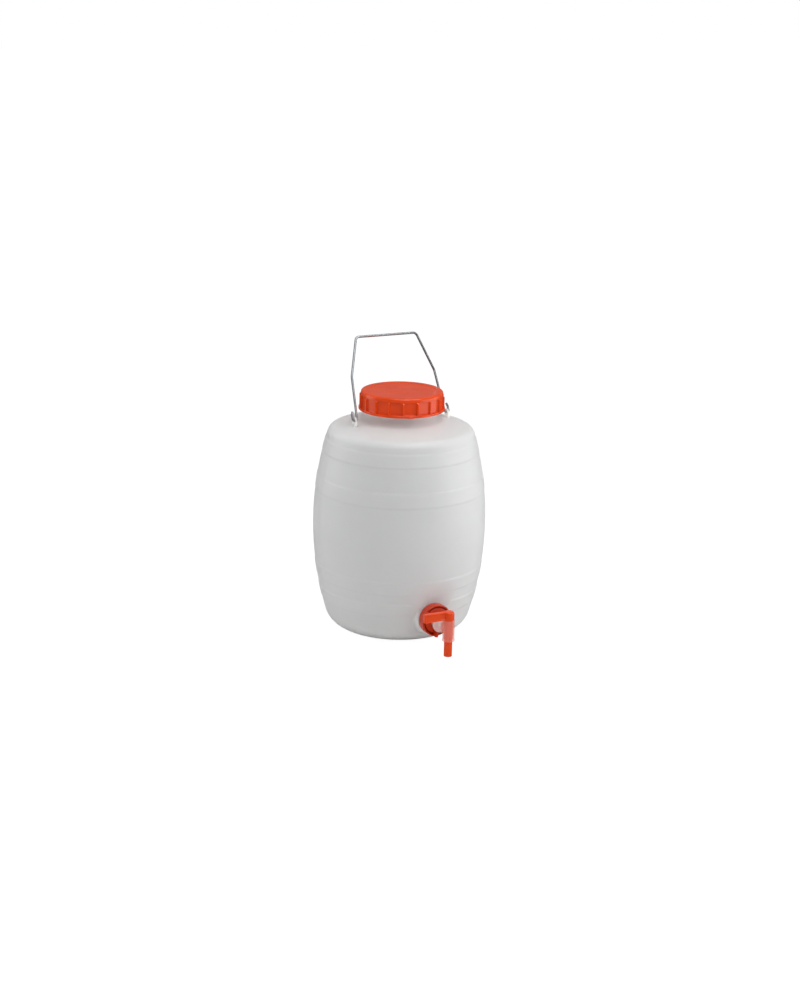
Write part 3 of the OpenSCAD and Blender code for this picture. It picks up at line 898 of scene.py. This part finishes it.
for i in range(fin_count):
    spin = Matrix.Rotation(fin_first + i * 2 * math.pi / fin_count, 4, "Z")
    place = Matrix.Translation((0, 0, nut_front)) @ spin @ Matrix.Rotation(quarter_turn, 4, "X")
    fin = plate("fin", fin_side, fin_radii, fin_stations, place)
    nut = combine(nut, fin, "UNION")
dress(on_axis(nut, tap_axis), nut_orange_painted_shade, "tap_nut", "orange_polyethylene", "tap_nut")
nut_thread = thread_ridge("nut_thread", socket_r, 0.5 * mm, 1.2 * mm, nut_pitch,
                          spout_thread_y + nut_pitch / 2, 0, 1.0, inward=True)
dress(on_axis(nut_thread, tap_axis), nut_orange_painted_shade, "tap_nut", "orange_polyethylene")

# %% [markdown]
# ## Floor and light
# The floor is pale and wide. Seen by the camera it glows near white and still takes the
# object's shadow, while diffuse rays meet an ordinary pale floor and glossy rays a grey
# one. A near soft box on the right brightens that side of the barrel and the lid, a large
# one above lights the lid's top, two weak ones fill in from the left, and the world lights
# the rest, darker towards the camera.

# %% The floor
floor_half, floor_gap = 14, 0.3 * mm
floor_mesh = bpy.data.meshes.new("floor")
floor_mesh.from_pydata([(-floor_half, -floor_half, 0), (floor_half, -floor_half, 0),
                        (floor_half, floor_half, 0), (-floor_half, floor_half, 0)], [], [(0, 1, 2, 3)])
floor_mesh.transform(Matrix.Translation((0, 0, -floor_gap)))
floor = bpy.data.objects.new("floor", floor_mesh)
bpy.context.scene.collection.objects.link(floor)
glow_share = 0.86


def pale_floor():
    material = bpy.data.materials.new("pale_floor")
    material.use_nodes = True
    nodes, links = material.node_tree.nodes, material.node_tree.links
    nodes.clear()
    out = nodes.new("ShaderNodeOutputMaterial")
    matt = nodes.new("ShaderNodeBsdfDiffuse")
    paint = nodes.new("ShaderNodeMix")
    paint.data_type = "RGBA"
    socket_of = {socket.identifier: socket for socket in paint.inputs}
    socket_of["A_Color"].default_value = (0.88, 0.88, 0.88, 1)
    socket_of["B_Color"].default_value = (0.15, 0.15, 0.15, 1)
    glow = nodes.new("ShaderNodeEmission")
    glow.inputs["Color"].default_value = (1, 1, 1, 1)
    glow.inputs["Strength"].default_value = 1.1
    ray = nodes.new("ShaderNodeLightPath")
    share = nodes.new("ShaderNodeMath")
    share.operation = "MULTIPLY"
    share.inputs[1].default_value = glow_share
    mix = nodes.new("ShaderNodeMixShader")
    links.new(ray.outputs["Is Glossy Ray"], socket_of["Factor_Float"])
    links.new(paint.outputs[2], matt.inputs["Color"])
    links.new(ray.outputs["Is Camera Ray"], share.inputs[0])
    links.new(share.outputs["Value"], mix.inputs["Fac"])
    links.new(matt.outputs["BSDF"], mix.inputs[1])
    links.new(glow.outputs["Emission"], mix.inputs[2])
    links.new(mix.outputs["Shader"], out.inputs["Surface"])
    return material


floor.data.materials.append(pale_floor())
print("floor", 2 * floor_half, "m wide")


# %% Soft boxes
def soft_box(name, azimuth, elevation, distance, size, power, target):
    """An area light that looks at the target. Azimuth and elevation are in degrees, counted
    from the camera's azimuth and from the floor, and the distance is in metres."""
    light = bpy.data.lights.new(name, "AREA")
    light.shape = "RECTANGLE"
    light.size, light.size_y = size
    light.energy = power
    box = bpy.data.objects.new(name, light)
    bpy.context.scene.collection.objects.link(box)
    way = direction(camera_azimuth + math.radians(azimuth), math.radians(elevation))
    box.location = Vector(target) + way * distance
    box.rotation_euler = (-way).to_track_quat("-Z", "Y").to_euler()
    return box


middle = (0, 0, 170 * mm)
soft_box("key_box", 84, 8, 0.75, (0.8, 0.62), 1.85, middle)
soft_box("top_box", 32, 66, 1.6, (1.4, 1.4), 15, middle)
soft_box("left_box", -100, 14, 1.3, (0.7, 1.2), 3.1, middle)
fill_box = soft_box("fill_box", -45, -2, 2.0, (1.4, 0.6), 2.9, middle)
fill_box.visible_glossy = False
print("four soft boxes")

# %% The world
world = bpy.data.worlds.new("studio")
bpy.context.scene.world = world
world.use_nodes = True
nodes, links = world.node_tree.nodes, world.node_tree.links
nodes.clear()
out = nodes.new("ShaderNodeOutputWorld")
where = nodes.new("ShaderNodeTexCoord")
facing = nodes.new("ShaderNodeVectorMath")
facing.operation = "DOT_PRODUCT"
facing.inputs[1].default_value = direction(camera_azimuth, math.radians(-5))
level_of = nodes.new("ShaderNodeMapRange")
level_of.interpolation_type = "SMOOTHSTEP"
for socket, value in (("From Min", -0.3), ("From Max", 1.0), ("To Min", 0.74), ("To Max", 0.31)):
    level_of.inputs[socket].default_value = value
room = nodes.new("ShaderNodeBackground")
room.inputs["Color"].default_value = (1.0, 0.995, 0.985, 1)
white = nodes.new("ShaderNodeBackground")
white.inputs["Color"].default_value = (1, 1, 1, 1)
ray = nodes.new("ShaderNodeLightPath")
seen = nodes.new("ShaderNodeMath")
seen.operation = "MAXIMUM"
mix = nodes.new("ShaderNodeMixShader")
links.new(where.outputs["Generated"], facing.inputs[0])
links.new(facing.outputs["Value"], level_of.inputs["Value"])
mirrored = nodes.new("ShaderNodeMapRange")
mirrored.interpolation_type = "SMOOTHSTEP"
for socket, value in (("From Min", -0.9), ("From Max", 0.7), ("To Min", 0.22), ("To Max", 0.05)):
    mirrored.inputs[socket].default_value = value
links.new(facing.outputs["Value"], mirrored.inputs["Value"])
strength = nodes.new("ShaderNodeMix")
links.new(ray.outputs["Is Glossy Ray"], strength.inputs[0])
links.new(level_of.outputs["Result"], strength.inputs[2])
links.new(mirrored.outputs["Result"], strength.inputs[3])
links.new(strength.outputs[0], room.inputs["Strength"])
links.new(ray.outputs["Is Camera Ray"], seen.inputs[0])
links.new(ray.outputs["Is Transmission Ray"], seen.inputs[1])
links.new(seen.outputs["Value"], mix.inputs["Fac"])
links.new(room.outputs["Background"], mix.inputs[1])
links.new(white.outputs["Background"], mix.inputs[2])
links.new(mix.outputs["Shader"], out.inputs["Surface"])
bpy.context.scene.view_settings.view_transform = "Standard"
print("world: white to the camera, dimmer towards it for the light and the reflections")
